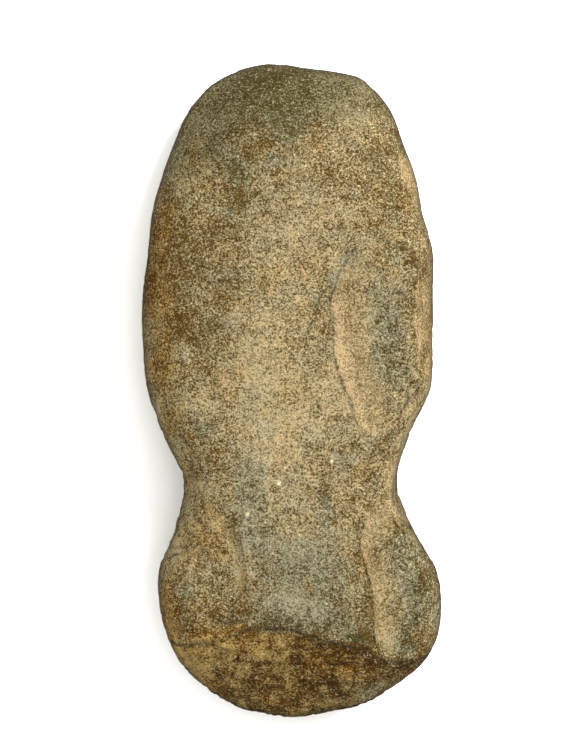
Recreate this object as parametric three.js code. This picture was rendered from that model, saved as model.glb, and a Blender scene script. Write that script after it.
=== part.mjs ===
// A waisted stone axe head, one solid piece of coarse greenstone. A flat cobble was flaked to
// shape, then pecked and ground: a long blade with a curved bit, a notch in each side where the
// haft was lashed, and a round poll. Flake scars that the grinding didn't reach are left in its
// upper face.
//
// Millimetres, +Z up. It lies on its flatter face with the bit towards +Y, and the origin is on
// the ground under the middle of its plan.
import * as THREE from "three";

const { clamp, degToRad, lerp, smoothstep } = THREE.MathUtils;

// Overall sizes
const LENGTH = 200;
const BLADE_WIDTH = 89;
const WAIST_WIDTH = 65.6;
const POLL_WIDTH = 86.2;
const THICKNESS = 32;

// Margins: the height of the rim, where the plan is widest, and how far in from it the rounding
// and the bevel run
const RIM_HEIGHT = 14;
const BIT_EDGE_HEIGHT = 12;
const LEFT_ROUNDING = 14;
const RIGHT_ROUNDING = 9;
const POLL_ROUNDING = 10;
const BIT_BEVEL = 28;
const BIT_EDGE_ROUNDING = 5;
const UNDER_ROUNDING = 20;

// Upper face: how far it falls from its crest to the margins and to each end
const FACE_CROWN = 2.6;
const BIT_FALL = 4;
const POLL_FALL = 1.2;

// Slow waves that the hand grinding left in the upper face: shares of the thickness and of the
// length, and a heading in degrees from +X
const WAVES = [
  { height: 0.009, length: 0.23, heading: 60 },
  { height: 0.007, length: 0.315, heading: 155 },
];

// Underside: how far it would bulge below the ground if it weren't flat there, and how far it
// rises again towards the margins
const GROUND_FLAT_DEPTH = 1.2;
const UNDER_CROWN = 2.6;

// The flat that the haft's lashing wore in each notch, and the slope by which it runs out
const HAFT_FLAT_LENGTH = 9;
const HAFT_FLAT_DEPTH = 0.4;
const HAFT_FLAT_RUNOUT = 1.5;

// Where the bit's bevel and the poll's rounding start and where they are whole, as shares of half
// the length, and how full the roundings and the bevel are
const BIT_ZONE = [0.5, 0.86];
const POLL_ZONE = [0.6, 0.85];
const ROUNDNESS = 2.2;
const BEVEL_EASE = 1.7;
const BIT_BLUNTNESS = 0.16;

// The plan, from the bit to the poll. At levels spaced as a cosine, each pair says how far the
// left and the right margin stand out, in shares of half the width of blade, waist or poll.
const BLADE_PLAN = [
  [0.11, -0.11],
  [0.29, 0.05],
  [0.47, 0.45],
  [0.62, 0.59],
  [0.73, 0.7],
  [0.81, 0.77],
  [0.89, 0.85],
  [0.96, 0.9],
  [0.99, 0.97],
  [1.025, 0.97],
  [1.025, 0.97],
  [0.995, 0.95],
  [0.88, 0.805],
];
const WAIST_PLAN = [
  [1.015, 0.985],
  [1.09, 1.125],
];
const POLL_PLAN = [
  [0.94, 1.02],
  [0.94, 1.06],
  [0.88, 1.03],
  [0.775, 0.91],
  [0.61, 0.705],
  [0.44, 0.51],
  [0.21, 0.21],
  [-0.01, 0.01],
];
const WAIST_LEVEL = BLADE_PLAN.length;

// Flake scars of the upper face. Each one starts at a line, the arris, whose points are
// [across, along, share]: shares of half the width, of half the length and of the scar's depth.
// The stone is lower on one side of it: -1 is left of the way the line runs, 1 is right. It drops
// down a curved wall, and the floor comes back up at the end of the reach. The depth is a share
// of the thickness, and the wall and the reach are shares of the width.
const SCARS = [
  {
    // long scar on the right of the blade
    width: BLADE_WIDTH,
    side: -1,
    depth: 0.085,
    wall: 0.038,
    reach: 0.38,
    arris: [
      [0.78, 0.58, 0],
      [0.63, 0.51, 0.2],
      [0.42, 0.42, 0.4],
      [0.3, 0.33, 0.8],
      [0.27, 0.21, 1],
      [0.31, 0.09, 1],
      [0.38, -0.02, 1],
      [0.46, -0.1, 0.8],
      [0.57, -0.155, 0.5],
      [0.68, -0.18, 0],
    ],
  },
  {
    // low step that leads into the long scar
    width: BLADE_WIDTH,
    side: -1,
    depth: 0.019,
    wall: 0.022,
    reach: 0.135,
    arris: [
      [0.42, 0.42, 0],
      [0.21, 0.28, 1],
      [0.11, 0.17, 1],
      [0.03, 0.12, 0],
    ],
  },
  {
    // deep scar on the right of the poll
    width: POLL_WIDTH,
    side: -1,
    depth: 0.1,
    wall: 0.036,
    reach: 0.36,
    arris: [
      [0.68, -0.3, 0],
      [0.56, -0.335, 0.35],
      [0.5, -0.4, 0.6],
      [0.49, -0.48, 0.8],
      [0.535, -0.56, 1],
      [0.575, -0.635, 1],
      [0.57, -0.7, 1],
      [0.61, -0.775, 1],
      [0.69, -0.82, 1],
      [0.82, -0.82, 0.9],
      [1, -0.79, 0.7],
    ],
  },
  {
    // shallow scar on the left of the poll
    width: POLL_WIDTH,
    side: 1,
    depth: 0.038,
    wall: 0.023,
    reach: 0.28,
    arris: [
      [-0.52, -0.37, 0],
      [-0.39, -0.42, 0.7],
      [-0.345, -0.5, 1],
      [-0.31, -0.59, 1],
      [-0.27, -0.66, 0],
    ],
  },
];

// Facets that fall away to the rim. They start at an arris too, and drop at a slope from there,
// or at a share of the slope, with the arris worn round over the wear, a share of the thickness.
const FACETS = [
  {
    // the poll's end, below the ridge that crosses it
    width: POLL_WIDTH,
    side: 1,
    slope: 0.5,
    wear: 0.038,
    arris: [
      [-1.05, -0.77, 1],
      [-0.54, -0.755, 1],
      [-0.28, -0.715, 1],
      [0.06, -0.735, 1],
      [0.38, -0.78, 1],
      [0.66, -0.82, 1],
      [0.9, -0.81, 1],
      [1.1, -0.78, 1],
    ],
  },
  {
    // the right corner of the bit
    width: BLADE_WIDTH,
    side: -1,
    slope: 0.5,
    wear: 0.025,
    arris: [
      [-0.02, 0.885, 0],
      [0.12, 0.91, 0.6],
      [0.3, 0.935, 1],
      [0.44, 0.94, 1],
      [0.55, 0.9, 0.8],
      [0.66, 0.83, 0],
    ],
  },
  {
    // chip behind the right corner of the bit
    width: BLADE_WIDTH,
    side: -1,
    slope: 1.1,
    wear: 0.013,
    arris: [
      [0.72, 0.73, 0],
      [0.72, 0.67, 1],
      [0.77, 0.6, 1],
      [0.87, 0.54, 0],
    ],
  },
  {
    // long chip on the right margin of the blade
    width: BLADE_WIDTH,
    side: -1,
    slope: 1.3,
    wear: 0.013,
    arris: [
      [0.9, 0.44, 0],
      [0.84, 0.34, 0.9],
      [0.825, 0.22, 1],
      [0.84, 0.11, 1],
      [0.87, 0.02, 0.9],
      [0.92, -0.05, 0],
    ],
  },
  {
    // side of the right notch
    width: WAIST_WIDTH,
    side: -1,
    slope: 0.8,
    wear: 0.025,
    arris: [
      [1.08, -0.15, 0],
      [0.9, -0.235, 1],
      [0.88, -0.31, 1],
      [0.94, -0.38, 1],
      [1.06, -0.44, 0.6],
      [1.22, -0.5, 0],
    ],
  },
];

// Mesh density: points around the rim, and rings from the rim in to the spine of each face. The
// rings crowd at the rim.
const AROUND = 180;
const UPPER_RINGS = 18;
const UNDER_RINGS = 8;
const RING_CROWDING = 1.7;
const SPINE_LENGTH = 0.62;
const RIM_SAMPLES = 720;
const ARRIS_SAMPLES = 48;

const STONE = { color: 0x8f7a52, roughness: 0.85, metalness: 0 };

const halfLength = LENGTH / 2;

// The plan as a closed curve: down the right margin from the bit to the poll, then back up the
// left one. Level k is at a height of cos(pi k / last), so both margins share the same levels.
function planCurve() {
  const levels = [
    [BLADE_PLAN, BLADE_WIDTH],
    [WAIST_PLAN, WAIST_WIDTH],
    [POLL_PLAN, POLL_WIDTH],
  ].flatMap(([rows, width]) => rows.map(([left, right]) => [(-left * width) / 2, (right * width) / 2]));
  const last = levels.length - 1;
  const along = (k) => halfLength * Math.cos((Math.PI * k) / last);
  const right = levels.map(([, x], k) => new THREE.Vector3(x, along(k), 0));
  const left = levels.map(([x], k) => new THREE.Vector3(x, along(k), 0));
  const points = [...right, ...left.slice(1, last).reverse()];
  return new THREE.CatmullRomCurve3(points, true, "catmullrom", 0.5);
}

// The haft flats: the level of the notches, and the plane of each flat
function haftFlats(plan) {
  const corners = plan.points.length;
  const right = plan.getPoint(WAIST_LEVEL / corners);
  const left = plan.getPoint((corners - WAIST_LEVEL) / corners);
  return { level: right.y, right: right.x - HAFT_FLAT_DEPTH, left: left.x + HAFT_FLAT_DEPTH };
}

// The nearest place on a line of points: the distance, which side of the line it is on (1 is
// right), and the line's third coordinate there
function nearest(line, x, y) {
  let found = { distance: Infinity, side: 0, share: 0 };
  for (let k = 0; k + 1 < line.length; k++) {
    const a = line[k];
    const b = line[k + 1];
    const [dx, dy] = [b.x - a.x, b.y - a.y];
    const t = clamp(((x - a.x) * dx + (y - a.y) * dy) / (dx * dx + dy * dy), 0, 1);
    const [px, py] = [x - a.x - t * dx, y - a.y - t * dy];
    const distance = Math.hypot(px, py);
    if (distance < found.distance) {
      found = { distance, side: Math.sign(px * dy - py * dx), share: lerp(a.z, b.z, t) };
    }
  }
  return found;
}

// An arris as a smooth line, in millimetres
function arrisLine({ arris, width }) {
  const points = arris.map(([across, along, share]) => {
    return new THREE.Vector3((across * width) / 2, along * halfLength, share);
  });
  return new THREE.CatmullRomCurve3(points, false, "catmullrom", 0.5).getPoints(ARRIS_SAMPLES);
}

// How far (x, y) lies beyond an arris, on its lower side, and the arris's share there
function beyond(feature, x, y) {
  const { distance, side, share } = nearest(feature.line, x, y);
  return { out: side === feature.side ? distance : 0, share: clamp(share, 0, 1) };
}

// How much a scar takes off the face: a wall that curves into the floor, which runs out
function scarDrop(scar, x, y) {
  const { out, share } = beyond(scar, x, y);
  const [wall, reach] = [scar.wall * scar.width, scar.reach * scar.width];
  const fallen = 1 - (1 - clamp(out / wall, 0, 1)) ** 2;
  return scar.depth * THICKNESS * share * fallen * (1 - smoothstep(out, wall, reach));
}

// How much a facet takes off the face: a slope that starts round, at the worn arris
function facetDrop(facet, x, y) {
  const { out, share } = beyond(facet, x, y);
  const wear = facet.wear * THICKNESS;
  return facet.slope * share * (Math.hypot(out, wear) - wear);
}

// How far a wave dips below its crest
function waveDip({ height, length, heading }, x, y) {
  const along = x * Math.cos(degToRad(heading)) + y * Math.sin(degToRad(heading));
  return height * THICKNESS * (1 - Math.sin((2 * Math.PI * along) / (length * LENGTH)));
}

// A quarter-round rise from 0 at the rim to 1 at the end of the rounding
const roundRise = (t) => (1 - (1 - clamp(t, 0, 1)) ** ROUNDNESS) ** (1 / ROUNDNESS);

// The bit's rise: a ground bevel that eases into the face, behind a slightly blunt edge
function bitRise(inset) {
  const bevel = 1 - (1 - clamp(inset / BIT_BEVEL, 0, 1)) ** BEVEL_EASE;
  return lerp(bevel, roundRise(inset / BIT_EDGE_ROUNDING), BIT_BLUNTNESS);
}

const zoneShare = (along, [start, whole]) => smoothstep(along, start, whole);
const bitShare = (y) => zoneShare(y / halfLength, BIT_ZONE);
const pollShare = (y) => zoneShare(-y / halfLength, POLL_ZONE);
const rimHeight = (y) => lerp(RIM_HEIGHT, BIT_EDGE_HEIGHT, bitShare(y));

const scars = SCARS.map((scar) => ({ ...scar, line: arrisLine(scar) }));
const facets = FACETS.map((facet) => ({ ...facet, line: arrisLine(facet) }));

// Height of the upper face at (x, y), which is inset from the rim by the distance given: the
// crowned face with the scars and facets taken off, times the rise of its rounded margin
function upperHeight(x, y, inset) {
  const rim = rimHeight(y);
  const across = (2 * x) / BLADE_WIDTH;
  const along = y / halfLength;
  const sum = (features, drop) => features.reduce((total, feature) => total + drop(feature, x, y), 0);
  const crown = FACE_CROWN * across ** 2 + (y > 0 ? BIT_FALL : POLL_FALL) * along ** 2;
  const drops = crown + sum(WAVES, waveDip) + sum(scars, scarDrop) + sum(facets, facetDrop);
  const side = lerp(LEFT_ROUNDING, RIGHT_ROUNDING, smoothstep(across, -0.6, 0.6));
  const rounding = lerp(side, POLL_ROUNDING, pollShare(y));
  const rise = lerp(roundRise(inset / rounding), bitRise(inset), bitShare(y));
  return rim + Math.max(0, THICKNESS - rim - drops) * rise;
}

// Height of the underside: rounded at the margins, and ground flat where it lies
function underHeight(x, y, inset) {
  const rim = rimHeight(y);
  const spread = ((2 * x) / BLADE_WIDTH) ** 2 + (y / halfLength) ** 2;
  const face = -GROUND_FLAT_DEPTH + UNDER_CROWN * spread;
  const rounding = lerp(UNDER_ROUNDING, BIT_BEVEL, bitShare(y));
  return Math.max(0, lerp(rim, face, roundRise(inset / rounding)));
}

// One face: rings that shrink from the rim onto a spine along the middle. Ring 0 is the rim, and
// the last ring's left and right halves are the same points.
function addFace(mesh, rim, rings, height, flats, outline) {
  const half = AROUND / 2;
  const ids = [mesh.rimIds];
  for (let ring = 1; ring <= rings; ring++) {
    const share = (ring / rings) ** RING_CROWDING;
    ids.push(
      rim.map((p, k) => {
        if (ring === rings && k > half) {
          return null;
        }
        const x = lerp(p.x, 0, share);
        const y = lerp(p.y, SPINE_LENGTH * p.y, share);
        const { distance } = nearest(outline, x, y);
        return addPoint(mesh, x, y, height(x, y, distance), flats);
      }),
    );
  }
  const spine = ids[rings];
  for (let k = half + 1; k < AROUND; k++) {
    spine[k] = spine[AROUND - k];
  }
  return ids;
}

// Adds a point, pressed onto the haft flats, or their run-outs, where it would stand out past them
function addPoint(mesh, x, y, z, flats) {
  const past = Math.max(0, Math.abs(y - flats.level) - HAFT_FLAT_LENGTH / 2);
  const runout = HAFT_FLAT_RUNOUT * past;
  mesh.points.push(clamp(x, flats.left - runout, flats.right + runout), y, z);
  return mesh.points.length / 3 - 1;
}

// Two triangles for each cell between neighbouring rings, with the ones that closed up left out
function addCells(mesh, ids, facesUp) {
  const add = (a, b, c) => {
    if (a !== b && b !== c && c !== a) {
      mesh.faces.push(...(facesUp ? [a, c, b] : [a, b, c]));
    }
  };
  for (let ring = 0; ring + 1 < ids.length; ring++) {
    for (let k = 0; k < AROUND; k++) {
      const next = (k + 1) % AROUND;
      const [a, b, c, d] = [ids[ring][k], ids[ring][next], ids[ring + 1][next], ids[ring + 1][k]];
      add(a, b, c);
      add(a, c, d);
    }
  }
}

// Puts the middle of the plan at the origin
function centre(geometry) {
  geometry.computeBoundingBox();
  const middle = geometry.boundingBox.getCenter(new THREE.Vector3());
  geometry.translate(-middle.x, -middle.y, 0);
}

function axeHead() {
  const plan = planCurve();
  const flats = haftFlats(plan);
  const outline = Array.from({ length: RIM_SAMPLES + 1 }, (_, k) => plan.getPoint(k / RIM_SAMPLES));
  const rim = Array.from({ length: AROUND }, (_, k) => plan.getPoint(k / AROUND));
  const mesh = { points: [], faces: [], rimIds: [] };
  mesh.rimIds = rim.map((p) => addPoint(mesh, p.x, p.y, rimHeight(p.y), flats));
  addCells(mesh, addFace(mesh, rim, UPPER_RINGS, upperHeight, flats, outline), true);
  addCells(mesh, addFace(mesh, rim, UNDER_RINGS, underHeight, flats, outline), false);
  const geometry = new THREE.BufferGeometry();
  geometry.setAttribute("position", new THREE.Float32BufferAttribute(mesh.points, 3));
  geometry.setIndex(mesh.faces);
  centre(geometry);
  geometry.computeVertexNormals();
  const stone = new THREE.MeshStandardMaterial({ ...STONE, flatShading: true });
  const head = new THREE.Mesh(geometry, stone);
  head.name = "axe_head";
  return head;
}

const axe = new THREE.Group();
axe.add(axeHead());

export default axe;
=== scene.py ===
# Waisted stone axe head: its finished surface, its stone, and the stage it is photographed on.
import math
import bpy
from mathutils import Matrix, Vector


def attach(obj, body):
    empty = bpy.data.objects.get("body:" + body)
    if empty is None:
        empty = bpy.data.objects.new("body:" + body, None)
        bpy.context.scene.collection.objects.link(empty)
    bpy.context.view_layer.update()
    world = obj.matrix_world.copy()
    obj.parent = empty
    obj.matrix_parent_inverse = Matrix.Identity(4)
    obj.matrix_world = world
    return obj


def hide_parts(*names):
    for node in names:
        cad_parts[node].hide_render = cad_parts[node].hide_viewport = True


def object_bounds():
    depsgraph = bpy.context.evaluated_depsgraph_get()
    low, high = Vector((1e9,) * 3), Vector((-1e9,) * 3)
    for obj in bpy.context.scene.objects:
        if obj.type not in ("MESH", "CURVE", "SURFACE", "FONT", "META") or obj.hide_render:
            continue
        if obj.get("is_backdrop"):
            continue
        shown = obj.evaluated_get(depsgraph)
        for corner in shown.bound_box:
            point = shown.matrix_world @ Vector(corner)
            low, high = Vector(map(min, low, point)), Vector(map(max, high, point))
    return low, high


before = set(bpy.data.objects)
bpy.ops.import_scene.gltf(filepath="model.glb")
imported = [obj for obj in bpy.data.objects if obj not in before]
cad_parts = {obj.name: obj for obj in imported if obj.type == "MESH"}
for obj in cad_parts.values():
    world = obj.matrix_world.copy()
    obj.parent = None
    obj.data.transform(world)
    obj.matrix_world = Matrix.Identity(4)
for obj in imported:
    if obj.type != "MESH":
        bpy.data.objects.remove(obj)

from types import SimpleNamespace

import bpy
import numpy as np
from bpy.props import FloatProperty, FloatVectorProperty, IntProperty, PointerProperty
from mathutils import Vector

bl_info = {
    "name": "Waisted stone axe head",
    "version": (1, 0, 0),
    "blender": (4, 5, 0),
    "location": "3D View > Sidebar > Axe head",
    "description": "Carves a waisted stone axe head over its solid, and lights it",
    "category": "Object",
}

NODE = "axe_head"
BODY = "root"
SOLID_LOW, SOLID_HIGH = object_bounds()
SOLID_SIZE = SOLID_HIGH - SOLID_LOW

# The plan, from the bit to the poll. At levels spaced as a cosine, each pair says how far the
# left and the right margin stand out, in shares of half the width of blade, waist or poll.
BLADE_PLAN = [
    (0.11, -0.11), (0.29, 0.05), (0.47, 0.45), (0.62, 0.59), (0.73, 0.7), (0.81, 0.77), (0.89, 0.85),
    (0.96, 0.9), (0.99, 0.97), (1.025, 0.97), (1.025, 0.97), (0.995, 0.95), (0.88, 0.805),
]
WAIST_PLAN = [(1.015, 0.985), (1.09, 1.125)]
POLL_PLAN = [
    (0.94, 1.02), (0.94, 1.06), (0.88, 1.03), (0.775, 0.91), (0.61, 0.705), (0.44, 0.51),
    (0.21, 0.21), (-0.01, 0.01),
]

# Where the bit's bevel and the poll's rounding start and where they are whole, as shares of half
# the length, and how far out each margin's own rounding is whole, as a share of half the width
BIT_ZONE = (0.5, 0.86)
POLL_ZONE = (0.6, 0.85)
SIDE_SPAN = 0.6

# Exponents of the roundings and of the bevel, and the blunt edge's share of the bit's rise
ROUNDNESS = 2.2
BEVEL_EASE = 1.7
BIT_BLUNTNESS = 0.16

# How steeply a notch's flat runs out past its ends, and how closely the rings crowd at the rim
HAFT_FLAT_RUNOUT = 1.5
RING_CROWDING = 1.8

# The painted shade line along an arris: its reach on the high side and on the low side, in metres
LINE_ABOVE = 0.0011
LINE_BELOW = 0.00035

# Bare stone past an arris: where it is whole, in metres, and where a scar's ends, in walls
SCAR_BARE = 0.0005
FACET_BARE = 0.0004
BARE_END = 2.6

# A scar's grey floor: where it starts and is whole, in walls, and fades and ends, in reaches
FLOOR_ONSET = (1.6, 3.4)
FLOOR_END = (0.4, 0.8)

# Where the colours of the poll's end start and are whole, in metres past its ridge
POLL_END_ONSET = (-0.0002, 0.0009)

# The ground bevel's colour: where it fades, in shares of its run and, on the right, of half the
# width; how much of it goes there; and how far a metre of stray moves that edge
BEVEL_FADE = (0.25, 0.95)
BEVEL_RIGHT = (0.2, 0.75)
BEVEL_RIGHT_LOSS = 0.7
BEVEL_RIGHT_STRAY = 60

# How far the edges of patches stray, and how far in the painted shade along the rim reaches, in metres
PATCH_STRAY = 0.004
RIM_DIRT = 0.0018

# Between which values of their noises pits, peck marks and bites in the rim set in, how near 0 a
# crease's noise is, and how far in bites reach and terraces start, in metres
PIT_ONSET = (0.45, 0.8)
PECK_ONSET = (0.45, 0.8)
BITE_ONSET = (0.15, 0.7)
CREASE_SPAN = 0.22
BITE_REACH = 0.0015
TERRACE_INSET = 0.003

# What bare stone lacks of creases and terraces, what bare or ground stone lacks of pecks and pits,
# and how deep a mark, a crease and a lip count for the painted shade that darkens them
BARE_CALM = 0.8
WORN_CALM = 0.6
MARK_DEEP = 0.5
CREASE_DEEP = 0.6
LIP_DEEP = 0.5

# Tones of the picture, light that comes in and light that is shown, and the curve of all channels
WHITE_CURVE = [(0.4, 0.4), (0.55, 0.6), (0.68, 0.86), (0.75, 1.0)]
ALL_CHANNELS = 3

# Slow waves of the hand grinding: height as a share of the thickness, length as a share of the
# stone's length, and heading in degrees from +X
WAVES = [(0.009, 0.23, 60), (0.007, 0.315, 155)]

# The lower side of an arris, seen along its points
RIGHT, LEFT = 1, -1


def scar(width, side, depth, wall, reach, arris, fresh=0.0, floor=0.0, line=0.6):
    """A flake scar: lower on one side of its arris, down a curved wall to a floor that runs out.

    It is measured in the width that it names. The arris's points are (across, along), in hundredths
    of half the width and of half the length, and a share of the depth where it isn't whole. The
    depth is a share of the thickness; wall and reach are shares of the width. fresh, floor and line
    say how bare its wall and how grey its floor look, and how dark the painted shade along its arris is.
    """
    return SimpleNamespace(**locals(), slope=None)


def facet(width, side, slope, wear, arris, fresh=0.0, line=0.3):
    """A facet that falls at a slope from its arris to the rim, with the arris worn round."""
    return SimpleNamespace(**locals())


# The scars and facets that the solid has too
SCARS = {
    "long scar on the right of the blade": scar(
        "blade", LEFT, 0.085, 0.038, 0.38,
        [(78, 58, 0), (63, 51, 0.2), (42, 42, 0.4), (30, 33, 0.8), (27, 21), (31, 9), (38, -2),
         (46, -10, 0.8), (57, -15.5, 0.5), (68, -18, 0)], fresh=0.85, floor=0.7, line=0.65,
    ),
    "low step that leads into the long scar": scar(
        "blade", LEFT, 0.019, 0.022, 0.135, [(42, 42, 0), (21, 28), (11, 17), (3, 12, 0)],
    ),
    "deep scar on the right of the poll": scar(
        "poll", LEFT, 0.1, 0.036, 0.36,
        [(68, -30, 0), (56, -33.5, 0.35), (50, -40, 0.6), (49, -48, 0.8), (53.5, -56), (57.5, -63.5),
         (57, -70), (61, -77.5), (69, -82), (82, -82, 0.9), (100, -79, 0.7)],
        fresh=1.0, floor=0.8, line=0.6,
    ),
    "shallow scar on the left of the poll": scar(
        "poll", RIGHT, 0.038, 0.023, 0.28,
        [(-52, -37, 0), (-39, -42, 0.7), (-34.5, -50), (-31, -59), (-27, -66, 0)], fresh=0.6, floor=0.4,
    ),
}
POLL_END = facet(
    "poll", RIGHT, 0.5, 0.038,
    [(-105, -77), (-54, -75.5), (-28, -71.5), (6, -72.5), (38, -76.5), (66, -80.8), (90, -81),
     (110, -78)], line=0.9,
)
FACETS = {
    "poll end below its ridge": POLL_END,
    "right corner of the bit": facet(
        "blade", LEFT, 0.5, 0.025,
        [(-2, 88.5, 0), (12, 91, 0.6), (30, 93.5), (44, 94), (55, 90, 0.8), (66, 83, 0)], fresh=0.2,
    ),
    "chip behind the right corner of the bit": facet(
        "blade", LEFT, 1.1, 0.013, [(72, 73, 0), (72, 67), (77, 60), (87, 54, 0)], fresh=0.9,
    ),
    "long chip on the right margin": facet(
        "blade", LEFT, 1.3, 0.013,
        [(90, 44, 0), (84, 34, 0.9), (82.5, 22), (84, 11), (87, 2, 0.9), (92, -5, 0)], fresh=1.0,
    ),
    "side of the right notch": facet(
        "waist", LEFT, 0.8, 0.025,
        [(108, -15, 0), (90, -23.5), (88, -31), (94, -38), (106, -44, 0.6), (122, -50, 0)], fresh=0.85,
    ),
}

# Small ledges and lines that only the finished surface has
LEDGES = {
    "inner step of the right notch": scar(
        "waist", LEFT, 0.012, 0.009, 0.06,
        [(100, -20, 0), (98, -26), (98, -33), (104, -40), (117, -47, 0)], fresh=0.3,
    ),
    "outer step of the right notch": scar(
        "waist", LEFT, 0.01, 0.007, 0.05,
        [(104, -20, 0), (94, -30), (99, -36), (111, -42), (122, -46, 0)],
    ),
    "upper ledge on the left of the poll": scar(
        "poll", RIGHT, 0.016, 0.012, 0.08, [(-83, -76, 0), (-70, -75.5), (-55, -74), (-42, -72.5, 0)],
    ),
    "lower ledge on the left of the poll": scar(
        "poll", RIGHT, 0.02, 0.014, 0.1,
        [(-82, -79, 0), (-68, -77.5), (-55, -76), (-42, -78, 0.8), (-32, -77.5, 0)],
    ),
    "edge of the left plate of the poll": scar(
        "poll", LEFT, 0.018, 0.014, 0.12, [(-34, -78, 0), (-37, -83), (-42, -88), (-46, -93, 0)],
    ),
    "hooked ledge in the middle of the poll": scar(
        "poll", RIGHT, 0.018, 0.012, 0.08, [(-30, -73.5, 0), (-22, -72.2), (-12, -72), (-3, -74, 0)],
    ),
    "undercut below the deep scar": scar(
        "poll", RIGHT, 0.03, 0.012, 0.07, [(68, -81.5, 0), (76, -82.8), (84, -82.6), (90, -81, 0)],
    ),
    "curved ridge on the left of the poll": scar(
        "poll", RIGHT, 0.014, 0.01, 0.07,
        [(-96, -53, 0), (-82, -50), (-66, -46.5), (-56, -45, 0)], fresh=0.5,
    ),
    "second ridge on the left of the poll": scar(
        "poll", RIGHT, 0.012, 0.01, 0.06,
        [(-93, -48, 0), (-84, -47.5), (-72, -47.2), (-64, -46, 0)], fresh=0.5,
    ),
    "plate at the lower right corner of the blade": scar(
        "blade", LEFT, 0.02, 0.012, 0.09,
        [(98, 3, 0), (88, 2), (80, 1.5), (78, -4), (74, -10, 0)], fresh=0.3,
    ),
    "foot of the long scar": scar(
        "blade", LEFT, 0.012, 0.01, 0.07,
        [(42, -11, 0), (50, -15), (60, -17.5), (70, -17, 0)], fresh=0.4,
    ),
    "line on the poll's end": scar(
        "poll", RIGHT, 0.012, 0.008, 0.04, [(20, -81.5, 0), (26, -82.5), (36, -82), (42, -81, 0)],
    ),
}
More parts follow.
